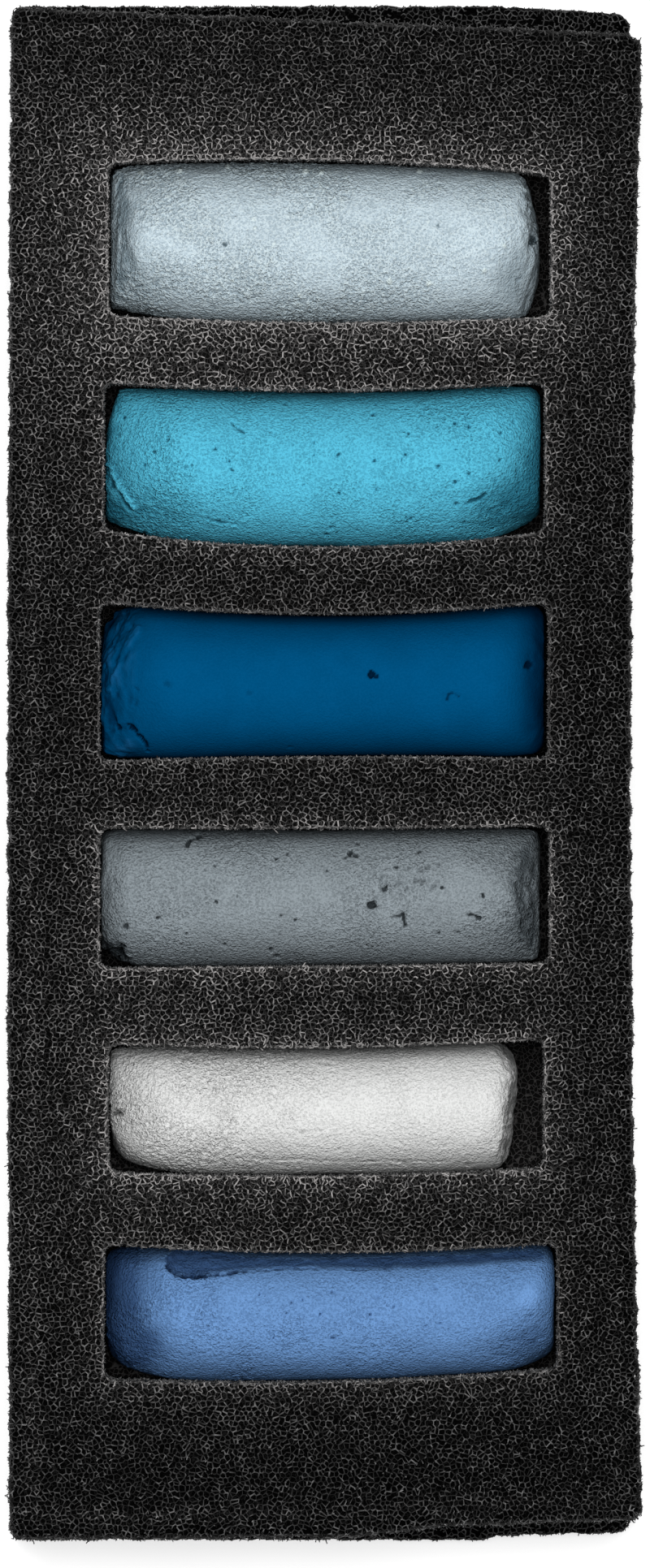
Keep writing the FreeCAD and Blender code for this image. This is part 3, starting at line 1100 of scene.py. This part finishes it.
def deep_blue_stick():
    s = Stick("deep_blue", 300, (0.4, 7, 0.62), (1.1, 4.5, 0.6))
    s.swell(6, 0.1)
    s.cut(-17.2, 3.2, 4.9, (-0.82, 0.46, 0.34), 0.38)
    s.cut(-18.3, 0.4, 5.6, (-0.8, 0.1, 0.6), 0.32)
    s.cut(-16.6, -4.2, 4.1, (-0.38, -0.42, 0.82), 0.14)
    s.lip([(-16.2, 5), (-16.9, 3.9), (-17.5, 3.2), (-18, 1.6), (-18.8, -0.3)], 0.26, 0.25)
    s.crack([(-17.4, -3.2), (-16.6, -4), (-15.9, -4.7), (-15.4, -5.7)], 0.2, 0.7)
    s.crack([(-18.3, -3), (-18, -3.8)], 0.2, 0.6)
    s.crack([(-16.9, 0.6), (-16.3, -0.6), (-16.6, -1.8)], 0.14, 0.12)
    s.crumb(-17.8, -5, 1.3, 0.05)
    s.torn(-1, 3.2, 0.36)
    s.torn(1, 1.2, 0.12)
    s.grain(0.5, 0.03, 0.35 * s.patches(3, 0.15, 0.6))
    s.pit(4.3, 1, 0.36, 0.6)
    s.pit(4.7, 0.8, 0.2, 0.3)
    s.crack([(10.9, -1.3), (11.1, -0.8), (11.6, -0.75), (12, -0.9)], 0.12, 0.2)
    s.pit(18.2, 1.8, 0.4, 0.3)
    s.pit(-13.8, 0.1, 0.4, 0.12)
    s.pit(-6.5, -0.8, 0.35, 0.1)
    s.shaded_end(1, 4.5, 0.5)
    s.scatter(s.pit, 16, 0.11, 0.08, 51)
    s.make((0, 80, 127), (0, 34, 66), 0.1, 0.05, grain_depth=0.035, shine=0)


def slate_grey_stick():
    s = Stick("slate_grey", 400, (0.8, 2.6, 0.32), (0.5, 3, 0.2))
    s.swell(6, 0.08)
    s.cut(17.35, 0, 5.8, (0.91, 0, 0.42), 0.34, dark=0.24)
    s.cut(-17.9, -4.75, 1, (-0.6, -0.78, 0.15), 0.5, dark=0.3)
    s.corner(18.4, 4.3, (0.6, 0.8), 0.25)
    s.corner(18.2, -4.2, (0.6, -0.8), 0.3)
    s.torn(-1, 1.5, 0.2)
    s.torn(1, 1.2, 0.2)
    s.grain(0.4, 0.13, 0.4 + 0.6 * s.patches(3.5))
    s.scuff(8.4, 1.7, (2.9, 1.7), 0.15)
    s.crack([(-11.9, 4.7), (-11.3, 5.1), (-10.6, 5.5)], 0.19, 0.4)
    s.crack([(7.3, -1.55), (7.4, -2.5)], 0.16, 0.45)
    s.crack([(6.4, -1.7), (7.3, -1.55)], 0.12, 0.25)
    s.crack([(13, -1.6), (13.5, -1.65), (14, -1.9)], 0.15, 0.4)
    s.crack([(-4.4, -4.6), (-4.1, -4.9), (-3.9, -5.2)], 0.19, 0.4)
    s.crack([(-12.7, -2.8), (-11.8, -3.2), (-9.6, -3.3), (-8.2, -4.5)], 0.08, 0.1)
    s.crack([(8.8, -2.4), (10.4, -2.7)], 0.08, 0.1)
    s.pit(4.55, -0.7, 0.36, 0.6)
    s.pit(2.6, 3.95, 0.3, 0.4)
    s.pit(3.1, 3.8, 0.24, 0.35)
    s.pit(5.6, 0.7, 0.28, 0.35)
    for place in [(-9.3, 2.9), (-9.2, -0.4), (14.3, 0.1), (14.3, 0.3), (5.8, 0.95), (0.6, 2.4),
                  (6.7, 2.7), (10.7, 0.9), (-8.4, -4.2), (-11.8, -3.2), (-2.9, 3.9),
                  (-3.9, 3.5), (3.2, 4.8), (2.2, 3.6), (-17.3, -2.5), (-14.3, -1.8),
                  (10.4, -3.2), (12.1, -3.1), (-3.5, -1.6), (-2.2, -2), (8.7, 4.1)]:
        s.pit(*place, 0.17, 0.32)
    s.pit(-17.2, -2.6, 0.32, 0.3)
    s.pit(-18.1, -5.2, 1, 1)
    s.scatter(s.pit, 70, 0.12, 0.14, 51)
    s.make((144, 154, 160), (46, 55, 60), 0.3, 0.07)


def white_stick():
    s = Stick("white", 500, (0.7, 5.5, 0.58), (0.9, 3, 0.16))
    s.swell(5, 0.1)
    s.cut(-17.5, -3.1, 0, (-0.83, -0.55, 0.15), soft=0.45)
    s.cut(-15.9, -4.8, 0, (-0.45, -0.9, 0.15), soft=0.45)
    s.cut(-13.3, -5.35, 0, (-0.18, -1, 0.1), 0.08)
    s.cut(17.2, 4.9, 0, (0.83, 0.55, 0.2), 0.2)
    s.cut(17.35, -0.6, 0, (0.97, -0.17, 0.1), 0.3)
    s.cut(16.75, -4.4, 1, (0.9, -0.4, 0.2), 0.25)
    s.cut(17.2, 0.5, 4.3, (0.9, 0, 0.45), 0.35)
    s.torn(1, 2, 0.3)
    left = np.clip((7 - s.plan()[0][:, 0]) / 14, 0.35, 1)
    s.grain(0.38, 0.34, left * (0.45 + 0.55 * s.patches(3)))
    s.crack([(-5.5, -4.2), (2, -4.4), (11.9, -4.5)], 0.1, 0.1)
    s.crack([(0.3, 4.4), (1.6, 4.2), (3.5, 4.9)], 0.12, 0.12)
    s.crack([(-12, 4.2), (-11, 5)], 0.14, 0.15)
    s.pit(-17.3, -0.2, 0.5, 0.3)
    s.pit(-8, 2.2, 0.18, 0.2)
    s.pit(-0.9, -1.9, 0.22, 0.15)
    s.scatter(s.pit, 40, 0.14, 0.12, 51)
    s.scatter(s.crumb, 50, 0.15, 0.08, 52)
    s.make((235, 236, 235), (150, 151, 150), 0.4, 0.03)


def periwinkle_stick():
    s = Stick("periwinkle", 600, (1.2, 6.4, 0.86), (1.6, 3, 0.16))
    s.swell(5, 0.1)
    s.cut(-18.9, -3.5, 0, (-0.83, -0.56, 0.15))
    s.cut(-17.2, -4.8, 0, (-0.4, -0.92, 0.15))
    s.cut(18.7, -3.6, 0, (0.5, -0.87, 0.1))
    s.corner(-17.3, -3.5, (-0.6, -0.8), 0.35)
    s.corner(17.9, -3.2, (0.5, -0.87), 0.25)
    s.shelf([(-15.1, 5.6), (-14.9, 5), (-14.3, 4.4), (-13.6, 3.5), (-12.7, 3.4),
                 (-8.2, 3.9), (-1.9, 4.2), (2.7, 4), (6.7, 4.2), (12.4, 4.5), (18.1, 4.8),
                 (20.5, 5)], -15.1, 3.4, 0.8, rough=0.22)
    s.crack([(-14.6, 4.8), (-13.7, 3.6), (-12.5, 3.5), (-8.2, 4)], 0.18, 0.6)
    s.crack([(-8.2, 4), (-1.9, 4.3), (4, 4.1)], 0.08, 0.25)
    s.grain(0.4, 0.2, (0.3 + 0.7 * s.patches(3.5)) * s.smoother(-12, 24, 0.5))
    s.shaded_end(-1, 7, 0.85)
    s.crack([(0.1, -1.8), (0.7, -1.7)], 0.12, 0.25)
    for place in [(-3.4, 1.3), (3.5, 0.2), (-3.8, 0.3), (-2.4, 1.6), (0.1, 2.2), (-6.2, 2),
                  (-13.3, 1), (5.6, 0.9), (9.6, -0.6), (17.7, 0.1), (-0.9, 0.3), (-5, -1.9)]:
        s.pit(*place, 0.13, 0.24)
    s.crumb(17.4, 1.5, 1.3, 0.07)
    s.scatter(s.pit, 50, 0.13, 0.12, 51)
    s.make((110, 153, 208), (30, 58, 104), 0.3)


for build_stick in (pale_grey_stick, turquoise_stick, deep_blue_stick, slate_grey_stick,
                    white_stick, periwinkle_stick):
    build_stick()

# --- the table, the light and the camera ---
TABLE = 3.0  # half the table's side
VIEW_HEIGHT = 137.93  # what the picture shows, from top to bottom, at the tray's top face
VIEW_CENTRE = (0.0, -0.96)
LENS, SENSOR = 600.0, 36.0
LAMP_PLACE, LAMP_SIZE, LAMP_WATTS = (0.0, 0.13, 1.1), 0.5, 7.6  # in metres, and watts
SURROUNDINGS = 0.47  # how bright the white surroundings are


def build_stage():
    """A white table top just under the tray."""
    level = cad_low[2] - 0.02 * MM
    corners = [(x * TABLE, y * TABLE, level) for x, y in ((-1, -1), (1, -1), (1, 1), (-1, 1))]
    mesh = bpy.data.meshes.new("table_top")
    mesh.from_pydata(corners, [], [(0, 1, 2, 3)])
    mesh.materials.append(floor_material())
    table = add_object("table_top", mesh)


def build_light():
    """Even white surroundings, and one soft lamp above the tray."""
    world = bpy.data.worlds.new("studio")
    bpy.context.scene.world = world
    world.use_nodes = True
    background = world.node_tree.nodes["Background"]
    background.inputs["Color"].default_value = (1.0, 1.0, 1.0, 1.0)
    background.inputs["Strength"].default_value = SURROUNDINGS
    light = bpy.data.lights.new("key_softbox", "AREA")
    light.shape = "DISK"
    light.size = LAMP_SIZE
    light.energy = LAMP_WATTS
    lamp = add_object("key_softbox", light)
    lamp.location = LAMP_PLACE
    lamp.rotation_euler = (-lamp.location).to_track_quat("-Z", "Y").to_euler()


def build_camera():
    """A long lens straight above, for the tray to fill the picture as in the photograph."""
    data = bpy.data.cameras.new("camera")
    data.lens = LENS
    data.sensor_width = SENSOR
    data.clip_end = 10.0
    camera = add_object("camera", data)
    away = LENS / SENSOR * VIEW_HEIGHT
    camera.location = (VIEW_CENTRE[0] * MM, VIEW_CENTRE[1] * MM, (TOP_HIGH[2] + away) * MM)
    bpy.context.scene.camera = camera
    bpy.context.scene.view_settings.view_transform = "Standard"


build_stage()
build_light()
build_camera()
